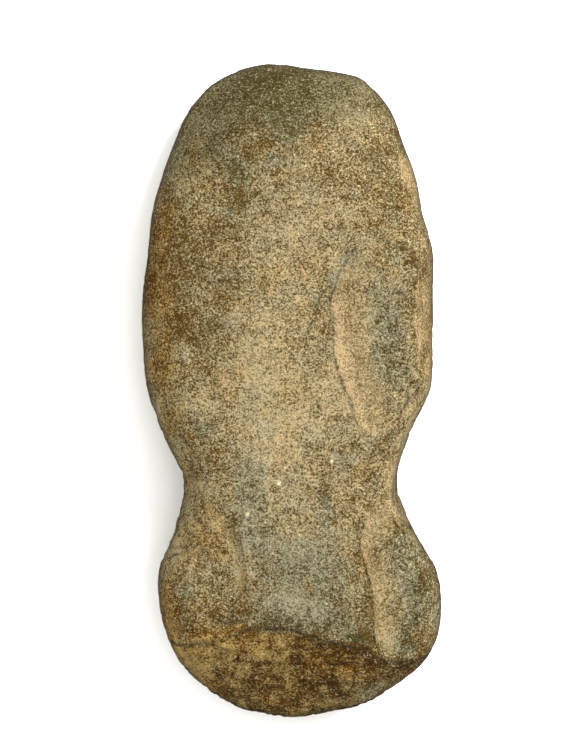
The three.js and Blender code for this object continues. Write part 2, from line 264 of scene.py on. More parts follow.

# Patches of the upper face, which the underside mirrors. Grey, dark, rust and pale change the stone's
# colours, bare shows it unweathered, and hackle is where it broke rough. Dark is a darker tone of the
# stone, and along the poll's ridge it is also painted shade below the ridge. Each is (across, along,
# reach across, reach along, strength), in hundredths of half the blade's width, of half the length
# and of 1, with its turn in degrees where it has one.
PATCHES = {
    "grey": [
        (-13, 80, 15, 5, 60), (1, 78, 12, 4, 50), (-38, 67, 11, 9, 60, 20), (-10, 68, 12, 5, 50),
        (-41, 51, 11, 4, 50), (-47, 35, 14, 3, 40, 25), (-42, 20, 12, 6, 40), (-20, 29, 5, 3, 30),
        (61, 70, 11, 4, 30), (40, 41, 6, 3, 80, -30), (30, 34, 4, 4, 70, -25), (19, 27, 8, 3, 40, 20),
        (66, 18, 6, 13, 50, -8), (25, 14, 5, 5, 40), (-56, -11, 12, 4, 50), (-28, -25, 12, 9, 70, -10),
        (-26, -38, 10, 9, 90, -10), (37, -20, 10, 5, 50), (63, -15, 14, 3, 50), (23, -34, 8, 10, 60, 5),
        (6, -52, 35, 12, 75), (10, -67, 38, 7, 80), (45, -74, 12, 3, 70, -30), (76, -78, 8, 4, 80),
        (82, -60, 8, 10, 50), (-45, -68, 21, 3, 60), (-70, -60, 8, 4, 50), (28, -87, 10, 2, 50),
        (55, -92, 12, 3, 50, 30),
    ],
    "dark": [
        (-8, 80, 22, 7, 100, -10), (2, 85, 14, 4, 60), (12, 31, 7, 3, 40), (25, 78, 10, 4, 50),
        (3, 96, 30, 2.5, 75), (-34, 88, 22, 6, 60, 20), (3, 90, 30, 5, 85), (-69, 73, 12, 5, 70, 25),
        (-40, 74, 18, 6, 65), (-40, 60, 14, 6, 55), (-45, 48, 12, 5, 60), (-45, 33, 17, 8, 95, 10),
        (-70, 40, 17, 14, 95), (-72, 19, 10, 6, 95), (-55, 16, 18, 9, 55), (-84, 56, 8, 10, 95, -10),
        (-96, 34, 6, 8, 100), (-70, 36, 8, 5, 70), (-72, 17, 6, 4, 60), (42, 59, 28, 7, 80),
        (52, 69, 12, 5, 50), (72, 56, 8, 6, 60), (92, 37, 6, 4, 60), (84, 35, 6, 5, 90),
        (89, 11, 5, 4, 70), (78, -71, 6, 3, 60), (78, 28, 5, 5, 35), (90, 20, 5, 20, 60),
        (30, 30, 3, 6, 40, 20), (30, -76.8, 12, 3, 100, -10), (-10, -96, 10, 2.5, 80),
        (71, 37, 6, 3, 40), (7, -79, 8, 2.5, 70), (40, 30, 4, 3, 40), (-23, 27, 5, 3, 40),
        (22, 18, 6, 7, 30), (68, 12, 3, 8, 35, -8), (-45, -23, 10, 5, 30), (-64, -24, 6, 3, 50),
        (22, -30, 5, 8, 45), (10, -20, 8, 4, 60), (18, -69, 12, 3, 50), (-38, -40, 6, 4, 80, 30),
        (-30, -46, 5, 4, 60), (-36, -62, 6, 4, 60), (62, -63, 8, 6, 70), (46, -64, 5, 3, 50),
        (56, -50, 5, 4, 60), (94, -62, 6, 7, 55), (90, -54, 7, 4, 50), (-76, -62, 5, 5, 50),
        (-40, -67, 20, 4, 50), (-12, -71, 16, 2.5, 60), (8, -71.5, 20, 3, 90, -8),
        (42, -78, 28, 5, 100, -10), (72, -84, 14, 3.5, 100), (12, -83, 12, 3, 90), (34, -87, 12, 2, 40),
        (47, -79, 14, 3.5, 100), (12, -82, 10, 3, 90), (-12, -67, 8, 2.5, 90), (27, -77, 10, 3, 80),
        (60, -81, 8, 2, 50, -20), (36, -77, 16, 3, 100, -5), (87, -80, 14, 6, 100, 5),
        (88, -78, 8, 3, 80), (8, -73.5, 10, 1.5, 40, -10), (20, -84, 14, 4, 60), (3, -83, 5, 5, 50),
        (-43, -85, 8, 4, 70), (-69, -72, 7, 4, 70), (6, -94, 16, 3, 50), (35, -90, 20, 5, 30, 20),
        (-2, 62, 6, 3, 25),
    ],
    "rust": [
        (-88, 44, 10, 10, 90), (-64, 70, 12, 7, 35), (-91, 27, 9, 10, 90), (-87, 9, 11, 9, 80),
        (-82, -9, 8, 8, 60, -20), (-70, -22, 6, 8, 50), (-85, -68, 7, 11, 100, 8),
        (-62, -77, 20, 5, 70), (-56, -89, 14, 5, 80), (-60, -45, 20, 8, 50, 15), (-55, -62, 14, 5, 40),
        (26, -80, 20, 2, 30, -10), (-40, -72, 20, 3, 80), (0, -74.5, 14, 2.5, 80, -6),
        (-33, -58, 4, 6, 50, -5), (-27, -75, 20, 5, 100), (36, -83, 20, 5, 60, -10),
        (92, 18, 5, 20, 40), (-3, -86, 40, 10, 35), (20, -80, 8, 3, 60), (50, -84, 12, 3, 40, -20),
        (-5, -95, 30, 3, 50), (70, -2, 12, 6, 30), (7, 44, 14, 6, 15), (52, 34, 14, 10, 20),
        (-60, -70, 12, 3, 40), (-58, -36, 8, 4, 40), (12, -56, 4, 3, 30),
    ],
    "pale": [
        (45, 82, 13, 5, 55), (5, 56, 24, 8, 40), (8, 44, 20, 6, 75), (53, 34, 10, 6, 50),
        (-3, 23, 22, 12, 95), (-30, 20, 10, 5, 50), (30, -72, 8, 3, 60), (-20, 8, 20, 11, 90),
        (-25, -4, 20, 8, 90), (-60, -3, 10, 5, 70), (-41, -13, 10, 4, 50), (17, -4, 20, 9, 85),
        (-12, -15, 16, 7, 60), (-12, -26, 10, 6, 60), (7, -27, 12, 5, 40), (57, 7, 7, 6, 70),
        (-23, 35, 8, 3, 60), (-54, 54, 8, 4, 70), (-32, 74, 8, 3, 70), (5, 49, 15, 5, 50),
        (-55, -29, 12, 5, 80), (-77, -46, 10, 5, 90), (-85, 23, 5, 4, 60), (-89, 23, 6, 7, 85),
        (-12, -78, 12, 3.5, 100), (-26, 61, 8, 3, 50), (-27, -83, 8, 3, 40), (43, -58, 7, 5, 80),
        (41, -27, 8, 3, 45), (-70, -19, 8, 4, 60), (-33, -50, 6, 10, 90), (69, 32, 10, 8, 70),
        (69, 45, 6, 4, 70), (74, 5, 6, 5, 80), (-52, -60, 10, 4, 70), (-55, 28, 6, 3, 60),
        (31, -70, 10, 2.5, 80), (38, -25, 7, 4, 50), (30, 16, 6, 12, 70), (50, 18, 5, 6, 50),
        (-89, -6, 6, 5, 90), (6, -38, 14, 9, 45), (-76, 7, 10, 8, 30), (28, 38, 10, 6, 30),
        (41, -6, 8, 11, 95, 10), (74, -4, 8, 5, 60), (36, -43, 10, 10, 80), (56, -41, 10, 6, 90),
        (-57, -38, 12, 5, 100), (-56, -52, 8, 4, 50), (-68, -60, 12, 6, 100), (87, 42, 5, 4, 70),
        (-48, -71, 10, 2.5, 60), (74, -63, 10, 6, 75), (73, 3, 8, 5, 50), (-61, -82, 17, 8, 85, 10),
        (-62, -77, 12, 3, 80), (-25, -78, 14, 3, 40), (64, -75, 8, 4, 90), (68, -60, 7, 10, 70),
        (10, -62, 20, 6, 20), (20, -79, 6, 2, 50), (22, -91, 20, 3, 70, 8), (93, -70, 4, 4, 50),
        (72, 66, 5, 6, 30, -15),
    ],
    "bare": [
        (40, 15, 12, 17, 70, -8), (49, -5, 12, 9, 80, 20), (65, -38, 10, 7, 80), (60, -66, 7, 8, 60),
        (84, -13, 6, 6, 50, 20),
    ],
    "hackle": [
        (70, 20, 30, 30, 80), (70, -6, 25, 15, 100), (60, -35, 25, 20, 90), (78, -55, 20, 20, 100),
        (-70, -45, 22, 22, 100), (45, -30, 15, 10, 80), (-70, -15, 20, 15, 50), (-50, -70, 35, 8, 90),
        (0, -88, 80, 16, 100), (-90, 20, 12, 40, 60), (75, 60, 15, 15, 40),
    ],
}

# Single pale mineral grains that catch the eye: across, along and size, in the same hundredths
CRYSTALS = [(26.8, -20.9, 2.2), (-9, -27.7, 2), (-29.6, -36.8, 1.8)]


def srgb(red, green, blue):
    """A screen colour of 0 to 255 a channel, as linear light, by the sRGB curve."""
    shares = [channel / 255 for channel in (red, green, blue)]
    return [s / 12.92 if s <= 0.04045 else ((s + 0.055) / 1.055) ** 2.4 for s in shares]


def length_size(name, text, default):
    """A property that holds a length in metres."""
    return FloatProperty(name=name, description=text, default=default, min=0, unit="LENGTH", precision=5)


def tint(name, text, red, green, blue):
    """A property that holds a colour, given as on a screen."""
    return FloatVectorProperty(
        name=name, description=text, default=srgb(red, green, blue), subtype="COLOR", min=0, max=1,
    )


class AXE_PG_form(bpy.types.PropertyGroup):
    """Sizes of the stone's form."""

    length: length_size("Length", "From the bit to the poll", SOLID_SIZE.y)
    blade: length_size("Blade width", "Across the blade", 0.089)
    waist: length_size("Waist width", "Between the notches", 0.0656)
    poll: length_size("Poll width", "Across the poll", 0.0862)
    thickness: length_size("Thickness", "From the ground to the crest of the upper face", 0.032)
    rim_height: length_size("Rim height", "Height at which the plan is widest", 0.014)
    bit_edge_height: length_size("Bit edge height", "Height of the cutting edge", 0.012)
    left_rounding: length_size("Left rounding", "How far in the left margin is round", 0.014)
    right_rounding: length_size("Right rounding", "How far in the right margin is round", 0.009)
    poll_rounding: length_size("Poll rounding", "How far in the poll's margin is round", 0.01)
    bit_bevel: length_size("Bit bevel", "How far the bit's ground bevel runs", 0.028)
    bit_edge_rounding: length_size("Bit edge rounding", "Bluntness of the cutting edge", 0.005)
    under_rounding: length_size("Under rounding", "How far in the underside is round", 0.02)
    face_crown: length_size("Face crown", "Fall of the upper face towards the margins", 0.0026)
    bit_fall: length_size("Bit fall", "Fall of the upper face towards the bit", 0.004)
    poll_fall: length_size("Poll fall", "Fall of the upper face towards the poll", 0.0012)
    ground_flat: length_size("Ground flat", "What grinding took off the underside", 0.0012)
    under_crown: length_size("Under crown", "Rise of the underside towards the margins", 0.0026)
    haft_flat: length_size("Haft flat length", "Length of the flat in each notch", 0.007)
    haft_flat_depth: length_size("Haft flat depth", "Wear at the flat in each notch", 0.00028)
    spine: FloatProperty(name="Spine", description="Share of the length where rings close", default=0.62)


class AXE_PG_relief(bpy.types.PropertyGroup):
    """Sizes of the stone's fine relief, and how finely it is meshed."""

    wander: length_size("Arris wander", "How far an arris strays from its line", 0.001)
    wander_size: length_size("Wander size", "Length of one stray", 0.0045)
    swell: length_size("Swell", "Depth of the broad unevenness", 0.0003)
    swell_size: length_size("Swell size", "Width of one swell", 0.011)
    pecking: length_size("Pecking", "Depth of the hammered grain", 0.00022)
    pecking_size: length_size("Pecking size", "Width of one peck mark", 0.0021)
    pit: length_size("Pit depth", "Depth of the single pits", 0.0003)
    pit_size: length_size("Pit size", "Width of one pit", 0.0016)
    hackle: length_size("Hackle", "Depth of the creases where the stone broke rough", 0.0006)
    hackle_size: length_size("Hackle size", "Width between creases", 0.005)
    flakes: length_size("Flakes", "Depth of the small terraces where the stone broke rough", 0.0009)
    flake_size: length_size("Flake size", "Width of the small terraces", 0.008)
    rim_chips: length_size("Rim chips", "Depth of the small bites in the rim", 0.0006)
    rim_chip_size: length_size("Rim chip size", "Length of one bite", 0.006)
    around: IntProperty(name="Around", description="Points round the rim", default=720, min=60)
    upper_rings: IntProperty(name="Upper rings", description="Rings of the upper face", default=104)
    under_rings: IntProperty(name="Under rings", description="Rings of the underside", default=30)


class AXE_PG_tints(bpy.types.PropertyGroup):
    """Colours of the stone."""

    brown: tint("Brown grain", "Dark grains of the weathered stone", 69, 49, 9)
    tan: tint("Tan grain", "Light grains of the weathered stone", 151, 138, 103)
    slate: tint("Slate grain", "Dark grains of the grey-green patches", 59, 52, 23)
    sage: tint("Sage grain", "Light grains of the grey-green patches", 140, 134, 108)
    umber: tint("Umber grain", "Dark grains of the iron-stained margins", 70, 42, 3)
    ochre: tint("Ochre grain", "Light grains of the iron-stained margins", 152, 127, 74)
    moss: tint("Moss grain", "Dark grains of the ground bit", 50, 41, 13)
    olive: tint("Olive grain", "Light grains of the ground bit", 117, 109, 79)
    bark: tint("Bark grain", "Dark grains of the poll's end", 47, 27, 5)
    russet: tint("Russet grain", "Light grains of the poll's end", 122, 104, 60)
    clay: tint("Clay grain", "Dark grains of the bare walls of the scars", 96, 74, 34)
    fawn: tint("Fawn grain", "Light grains of the bare walls of the scars", 149, 136, 103)
    # Colour of the painted shade along the rim and along the arrises
    soil: tint("Soil", "Dirt in pits and along the rim", 26, 19, 9)
    cream: tint("Cream", "Palest mineral grains", 188, 182, 150)


class AXE_PG_stage(bpy.types.PropertyGroup):
    """The floor, lights and camera."""

    floor: tint("Floor", "Colour of the floor", 252, 252, 251)
    floor_size: length_size("Floor size", "Side of the square floor", 6)
    camera_height: length_size("Camera height", "Camera above the stone's rim", 0.6)
    view_height: length_size("View height", "Height of the picture, at the rim", 0.2312)
    view_right: FloatProperty(name="View right", description="Middle of the picture", default=-0.00245)
    view_up: FloatProperty(name="View up", description="Middle of the picture", default=0.00367)
    sky: FloatProperty(name="Sky", description="Strength of the light from all round", default=1.05)
    key: FloatProperty(name="Key", description="Power of the main lamp, in watts", default=19.0)
    key_size: length_size("Key size", "Side of the main lamp", 0.4)
    key_place: FloatVectorProperty(
        name="Key place", description="Middle of the lamp", unit="LENGTH", default=(0.68, 0.55, 0.85),
    )


def spline(points, steps, closed=False):
    """A uniform Catmull-Rom curve through the points, at even steps of its parameter.

    Between two points it is the cubic whose slopes there are half the chords of their neighbours.
    """
    points = np.asarray(points, float)
    if closed:
        ring = np.concatenate([points[-1:], points, points[:2]])
    else:
        ring = np.concatenate([2 * points[:1] - points[1:2], points, 2 * points[-1:] - points[-2:-1]])
    spans = len(ring) - 3
    at = np.linspace(0, spans, steps + 1)
    k = np.minimum(at.astype(int), spans - 1)
    t = (at - k)[:, None]
    a, b, c, d = ring[k], ring[k + 1], ring[k + 2], ring[k + 3]
    return b + 0.5 * t * (c - a + t * (2 * a - 5 * b + 4 * c - d + t * (3 * (b - c) + d - a)))


def nearest(line, x, y):
    """Distance from each (x, y) to a line of points, the side it is on, and the line's share there.

    For each of the line's segments, the foot of the perpendicular is held between its ends.
    """
    distance = np.full(x.shape, np.inf)
    side = np.zeros(x.shape)
    share = np.zeros(x.shape)
    for a, b in zip(line[:-1], line[1:]):
        dx, dy = b[0] - a[0], b[1] - a[1]
        px, py = x - a[0], y - a[1]
        t = np.clip((px * dx + py * dy) / (dx * dx + dy * dy), 0, 1)
        px, py = px - t * dx, py - t * dy
        here = np.hypot(px, py)
        closer = here < distance
        distance = np.where(closer, here, distance)
        side = np.where(closer, np.sign(px * dy - py * dx), side)
        share = np.where(closer, a[2] + t * (b[2] - a[2]), share)
    return distance, side, np.clip(share, 0, 1)


def smoothstep(value, low, high):
    """0 below low and 1 above high, with an S-shaped cubic between them."""
    t = np.clip((value - low) / (high - low), 0, 1)
    return t * t * (3 - 2 * t)


def lerp(a, b, t):
    """The straight blend from a to b."""
    return a + (b - a) * t


def lattice_noise(points, size, seed, entries=4096, primes=(73856093, 19349663, 83492791)):
    """A smooth random value from -1 to 1 at each point.

    Random numbers at the corners of a cubic lattice of that size, blended by smoothstep. A corner's
    number is looked up in a table by its place times three primes, as a hash.
    """
    table = np.random.default_rng(seed).uniform(-1, 1, entries)
    place = points / size
    cell = np.floor(place).astype(np.int64)
    t = place - cell
    t = t * t * (3 - 2 * t)
    total = np.zeros(len(points))
    for corner in np.ndindex(2, 2, 2):
        at = cell + corner
        key = (at[:, 0] * primes[0]) ^ (at[:, 1] * primes[1]) ^ (at[:, 2] * primes[2])
        weight = np.prod(np.where(corner, t, 1 - t), axis=1)
        total += table[key % entries] * weight
    return total


def rough_noise(points, size, octaves, seed):
    """Lattice noise at a size and at each half of it, every one half as strong as the last."""
    layers = [lattice_noise(points, size / 2**k, seed + k) / 2**k for k in range(octaves)]
    return sum(layers) / (2 - 2 ** (1 - octaves))


def plan_points(form):
    """The margins' points: down the right one from the bit to the poll, and back up the left."""
    parts = [(BLADE_PLAN, form.blade), (WAIST_PLAN, form.waist), (POLL_PLAN, form.poll)]
    margins = np.array([(-left * w / 2, right * w / 2) for plan, w in parts for left, right in plan])
    levels = form.length / 2 * np.cos(np.linspace(0, math.pi, len(margins)))
    nothing = np.zeros(len(levels))
    right = np.stack([margins[:, 1], levels, nothing], axis=1)
    left = np.stack([margins[:, 0], levels, nothing], axis=1)
    return np.concatenate([right, left[-2:0:-1]])


def arris_line(form, feature, steps=40):
    """A feature's arris as a smooth line, in metres, with its share, or 1, as third coordinate."""
    half = np.array([getattr(form, feature.width) / 2, form.length / 2, 1])
    points = [(across / 100, along / 100, *share, 1)[:3] for across, along, *share in feature.arris]
    return spline(np.array(points) * half, steps)


def beyond(form, feature, x, y):
    """How far each (x, y) lies beyond a feature's arris, on its lower side, and the share there.

    On the higher side the distance is negative.
    """
    distance, side, share = nearest(arris_line(form, feature), x, y)
    return np.where(side == feature.side, distance, -distance), share


def feature_effect(form, feature, out, share):
    """What a scar or a facet takes off the face, how bare and how grey it looks, and its painted shade.

    A scar's wall falls as 1 - (1 - out / wall) squared and its floor fades by smoothstep; a facet
    falls as its slope times the distance, less the round of its worn arris. Bare stone is whole on
    the wall or the facet and fades past the wall, grey rises past the wall's foot and fades again,
    and the line of painted shade is a bell about the arris that is wider on the high side.
    """
    # Painted shade along the arris: a bell that is wider on the high side
    line = feature.line * share * np.exp(-((out / np.where(out > 0, LINE_BELOW, LINE_ABOVE)) ** 2))
    if feature.slope is not None:
        wear = feature.wear * form.thickness
        drop = feature.slope * share * (np.hypot(np.maximum(out, 0), wear) - wear)
        return drop, feature.fresh * share * smoothstep(out, 0, FACET_BARE), np.zeros(out.shape), line
    width = getattr(form, feature.width)
    wall, reach = feature.wall * width, feature.reach * width
    fallen = (1 - (1 - np.clip(out / wall, 0, 1)) ** 2) * (1 - smoothstep(out, wall, reach))
    bare = smoothstep(out, 0, SCAR_BARE) * (1 - smoothstep(out, wall, BARE_END * wall))
    grey = smoothstep(out / wall, *FLOOR_ONSET) * (1 - smoothstep(out / reach, *FLOOR_END))
    drop = feature.depth * form.thickness * share * fallen
    return drop, feature.fresh * share * bare, feature.floor * share * grey, line


def round_rise(t):
    """A rise from 0 to 1 along a superellipse: (1 - (1 - t)^n)^(1/n)."""
    return (1 - (1 - np.clip(t, 0, 1)) ** ROUNDNESS) ** (1 / ROUNDNESS)


def bit_rise(form, inset):
    """The bit's rise: a bevel 1 - (1 - t)^n, blended with the round of its blunt edge."""
    bevel = 1 - (1 - np.clip(inset / form.bit_bevel, 0, 1)) ** BEVEL_EASE
    return lerp(bevel, round_rise(inset / form.bit_edge_rounding), BIT_BLUNTNESS)


def zones(form, x, y):
    """The shares of the bit and of the poll, and the place across and along, of each (x, y)."""
    across, along = 2 * x / form.blade, 2 * y / form.length
    return smoothstep(along, *BIT_ZONE), smoothstep(-along, *POLL_ZONE), across, along


def upper_height(form, x, y, inset, drops):
    """Height of the upper face: the rim's height plus the crowned face, less drops, times the rise."""
    bit, poll, across, along = zones(form, x, y)
    rim = lerp(form.rim_height, form.bit_edge_height, bit)
    fall = np.where(y > 0, form.bit_fall, form.poll_fall) * along**2
    drops = drops + form.face_crown * across**2 + fall
    for height, length, heading in WAVES:
        turn = math.radians(heading)
        phase = (x * math.cos(turn) + y * math.sin(turn)) * 2 * math.pi / (length * form.length)
        drops = drops + height * form.thickness * (1 - np.sin(phase))
    side = lerp(form.left_rounding, form.right_rounding, smoothstep(across, -SIDE_SPAN, SIDE_SPAN))
    rounding = lerp(side, form.poll_rounding, poll)
    rise = lerp(round_rise(inset / rounding), bit_rise(form, inset), bit)
    return rim + np.maximum(0, form.thickness - rim - drops) * rise


def under_height(form, x, y, inset):
    """Height of the underside: from the rim down its rounding to a crown that is cut flat at 0."""
    bit, _, across, along = zones(form, x, y)
    rim = lerp(form.rim_height, form.bit_edge_height, bit)
    face = form.under_crown * (across**2 + along**2) - form.ground_flat
    rounding = lerp(form.under_rounding, form.bit_bevel, bit)
    return np.maximum(0, lerp(rim, face, round_rise(inset / rounding)))


def haft_flats(form, plan, x, y):
    """x pressed onto the flat in each notch, or onto the run-outs at its ends."""
    level, right = plan[len(BLADE_PLAN)][1], plan[len(BLADE_PLAN)][0]
    left = plan[-len(BLADE_PLAN)][0]
    runout = HAFT_FLAT_RUNOUT * np.maximum(0, np.abs(y - level) - form.haft_flat / 2)
    wear = form.haft_flat_depth
    return np.clip(x, left + wear - runout, right - wear + runout)


def ring_grid(form, rim, rings):
    """Plan places of a face: the rim drawn in towards the spine, ring by ring.

    At ring v from 0 to 1, the share drawn in is v to the crowding, so rings crowd at the rim.
    """
    drawn = (np.linspace(0, 1, rings + 1) ** RING_CROWDING)[:, None]
    x = lerp(rim[None, :, 0], 0, drawn)
    y = lerp(rim[None, :, 1], form.spine * rim[None, :, 1], drawn)
    return x, y


def ring_ids(first_free, rim_ids, rings):
    """Vertex numbers of a face's rings. The last ring is the spine, whose two halves are one."""
    around = len(rim_ids)
    inner = first_free + np.arange((rings - 1) * around).reshape(rings - 1, around)
    spine_start = first_free + inner.size
    k = np.arange(around)
    spine = spine_start + np.minimum(k, around - k)
    return np.concatenate([rim_ids[None], inner, spine[None]]), spine_start + around // 2 + 1


def ring_triangles(ids, faces_up):
    """Two triangles for each cell between neighbouring rings, without the ones that closed up."""
    a, b = ids[:-1], np.roll(ids[:-1], -1, axis=1)
    c, d = np.roll(ids[1:], -1, axis=1), ids[1:]
    halves = [np.stack([a, b, c], axis=-1).reshape(-1, 3), np.stack([a, c, d], axis=-1).reshape(-1, 3)]
    triangles = np.concatenate(halves)
    p, q, r = triangles.T
    triangles = triangles[(p != q) & (q != r) & (r != p)]
    return triangles[:, ::-1] if faces_up else triangles


def vertex_normals(points, triangles, tiny=1e-12):
    """Each vertex's normal: the sum of its triangles' cross products, made one long."""
    a, b, c = (points[triangles[:, k]] for k in range(3))
    crosses = np.cross(b - a, c - a)
    normals = np.zeros_like(points)
    for k in range(3):
        np.add.at(normals, triangles[:, k], crosses)
    return normals / np.maximum(np.linalg.norm(normals, axis=1, keepdims=True), tiny)


def patch_share(form, kind, x, y):
    """How strongly patches of one kind cover each (x, y): 1 less the product of what each leaves.

    A patch is its strength times exp of minus the squared distance, in shares of its reaches. One
    that gives no turn has a turn of 0.
    """
    left_over = np.ones(x.shape)
    for *shares, turn in [(*patch, 0)[:6] for patch in PATCHES[kind]]:
        across, along, reach_across, reach_along, strength = (share / 100 for share in shares)
        dx, dy = x - across * form.blade / 2, y - along * form.length / 2
        cos, sin = math.cos(math.radians(turn)), math.sin(math.radians(turn))
        u = (dx * cos + dy * sin) / (reach_across * form.blade / 2)
        v = (dy * cos - dx * sin) / (reach_along * form.length / 2)
        left_over *= 1 - strength * np.exp(-(u * u) - v * v)
    return 1 - left_over


def crystal_share(form, x, y, core=0.3):
    """Where the single pale grains are: 1 inside each one's core, and fading to its rim."""
    total = np.zeros(x.shape)
    for across, along, size in np.array(CRYSTALS) / 100:
        distance = np.hypot(x - across * form.blade / 2, y - along * form.length / 2)
        radius = size * form.blade / 2
        total = np.maximum(total, 1 - smoothstep(distance, core * radius, radius))
    return total


def head_surface(form, relief):
    """The stone's whole surface: points in metres, triangles, and the masks that colour it.

    Both faces are grids of rings round the rim. Scars and facets are looked up at places that
    noise has shifted a little, so that their edges wander, and then the whole skin is pressed in
    along its normals by the relief.
    """
    plan = plan_points(form)
    rim = spline(plan, relief.around, closed=True)[:-1]
    upper_x, upper_y = ring_grid(form, rim, relief.upper_rings)
    under_x, under_y = ring_grid(form, rim, relief.under_rings)
    rim_ids = np.arange(relief.around)
    upper_ids, free = ring_ids(relief.around, rim_ids, relief.upper_rings)
    under_ids, count = ring_ids(free, rim_ids, relief.under_rings)

    points = np.zeros((count, 3))
    points[under_ids, :2] = np.stack([under_x, under_y], axis=-1)
    points[upper_ids, :2] = np.stack([upper_x, upper_y], axis=-1)
    x, y, _ = points.T.copy()
    is_upper = np.isin(np.arange(count), upper_ids)

    inset, _, _ = nearest(spline(plan, relief.around, closed=True), x, y)
    flat = np.stack([x, y, np.zeros(count)], axis=1)
    strayed_x = x + rough_noise(flat, relief.wander_size, octaves=3, seed=11) * relief.wander
    strayed_y = y + rough_noise(flat, relief.wander_size, octaves=3, seed=23) * relief.wander
    drops, looks = np.zeros(count), np.zeros((3, count))
    for feature in [*SCARS.values(), *FACETS.values(), *LEDGES.values()]:
        out, share = beyond(form, feature, strayed_x, strayed_y)
        drop, *look = feature_effect(form, feature, out, share)
        drops += drop
        looks = np.maximum(looks, look)
    fresh, floor, line = looks * is_upper
    poll_out, _ = beyond(form, POLL_END, strayed_x, strayed_y)
    upper = upper_height(form, x, y, inset, drops)
    points[:, 2] = np.where(is_upper, upper, under_height(form, x, y, inset))
    triangles = np.concatenate([ring_triangles(upper_ids, True), ring_triangles(under_ids, False)])

    masks = stone_masks(form, points, x, y, inset, is_upper)
    masks["fresh"] = np.maximum(fresh, is_upper * masks["bare"]) * (1 - masks["dark"])
    # line carries the painted shade along the arrises and the poll's ridge
    masks.update(floor=floor, line=line)
    masks["poll_end"] = is_upper * smoothstep(poll_out, *POLL_END_ONSET)
    normals = vertex_normals(points, triangles)
    pressed, masks["deep"] = skin_relief(relief, points, inset, masks)
    points -= normals * pressed[:, None]
    points[:, 0] = haft_flats(form, plan, points[:, 0], points[:, 1])
    return fit_to_solid(points), triangles, masks


def stone_masks(form, points, x, y, inset, is_upper):
    """Masks that follow the form: the bit's bevel, the painted shade along the rim, the patches and the
    crystals.
    """
    bit, _, across, _ = zones(form, x, y)
    stray = rough_noise(points, size=0.014, octaves=4, seed=71) * PATCH_STRAY
    run = (inset + stray) / form.bit_bevel
    right = smoothstep(across + BEVEL_RIGHT_STRAY * stray, *BEVEL_RIGHT)
    bevel = bit * (1 - smoothstep(run, *BEVEL_FADE)) * (1 - BEVEL_RIGHT_LOSS * right)
    # The rim mask is painted shade in a band along the rim, fading inwards
    masks = {"bevel": bevel, "rim": np.exp(-inset / RIM_DIRT)}
    side = np.where(is_upper, 1, -1)
    for number, kind in enumerate(PATCHES):
        stray_x = rough_noise(points, size=0.012, octaves=4, seed=90 + number) * PATCH_STRAY
        stray_y = rough_noise(points, size=0.01, octaves=4, seed=130 + number) * PATCH_STRAY
        masks[kind] = patch_share(form, kind, side * x + stray_x, y + stray_y)
    masks["crystal"] = is_upper * crystal_share(form, x, y)
    return masks


def terraces(value, steps=6, riser=(0.3, 0.7), lip=0.25):
    """A smooth value turned into level treads, and how near each point lies to a tread's lip.

    Within each step the value rises by smoothstep over the riser, and is level before and after it.
    """
    tread = np.floor(value * steps)
    t = value * steps - tread
    return (tread + smoothstep(t, *riser)) / steps, np.clip(1 - np.abs(t - 0.5) / lip, 0, 1)


def skin_relief(relief, points, inset, masks):
    """How far the skin is pressed in, and how deep in it each point lies, from 0 to 1.

    Swells, peck marks, single pits and bites in the rim are noises. Where the stone broke rough,
    creases run where a noise is near 0, and terraces are a noise cut into treads.
    """
    swell = 0.5 + 0.5 * rough_noise(points, relief.swell_size, octaves=2, seed=31)
    peck = 0.5 + 0.5 * rough_noise(points, relief.pecking_size, octaves=2, seed=47)
    pit = smoothstep(lattice_noise(points, relief.pit_size, seed=59), *PIT_ONSET)
    rough = masks["hackle"] * (1 - BARE_CALM * masks["fresh"])
    fold = np.abs(rough_noise(points, relief.hackle_size, octaves=3, seed=67))
    crease = (1 - smoothstep(fold, 0, CREASE_SPAN)) * rough
    worn = 1 - WORN_CALM * np.maximum(masks["fresh"], masks["bevel"])
    bites = smoothstep(rough_noise(points, relief.rim_chip_size, octaves=3, seed=83), *BITE_ONSET)
    tread, lip = terraces(0.5 + 0.5 * rough_noise(points, relief.flake_size, octaves=3, seed=101))
    broken = rough * (1 - np.exp(-inset / TERRACE_INSET))
    pressed = relief.swell * swell + (relief.pecking * peck + relief.pit * pit) * worn
    pressed += relief.hackle * crease + relief.rim_chips * bites * np.exp(-inset / BITE_REACH)
    pressed += relief.flakes * tread * broken
    # How deep each point lies, which the material darkens as painted shade
    deep = MARK_DEEP * (smoothstep(peck, *PECK_ONSET) + pit) * worn
    deep += CREASE_DEEP * crease + LIP_DEEP * lip * broken
    return pressed, np.clip(deep, 0, 1)


def fit_to_solid(points):
    """The points moved and stretched by a hair, so that they fill the solid's box exactly."""
    low, high = points.min(axis=0), points.max(axis=0)
    span = (np.array(SOLID_HIGH) - np.array(SOLID_LOW)) / (high - low)
    return np.array(SOLID_LOW) + (points - low) * span


def make_piece(name, points, triangles, masks):
    """A mesh object of these points and triangles, with each mask as an attribute of its points."""
    mesh = bpy.data.meshes.new(name)
    mesh.from_pydata(points, [], triangles)
    mesh.shade_smooth()
    for mask, values in masks.items():
        attribute = mesh.attributes.new(mask, "FLOAT", "POINT")
        attribute.data.foreach_set("value", values.astype(np.float32))
    piece = bpy.data.objects.new(name, mesh)
    bpy.context.scene.collection.objects.link(piece)
    return piece


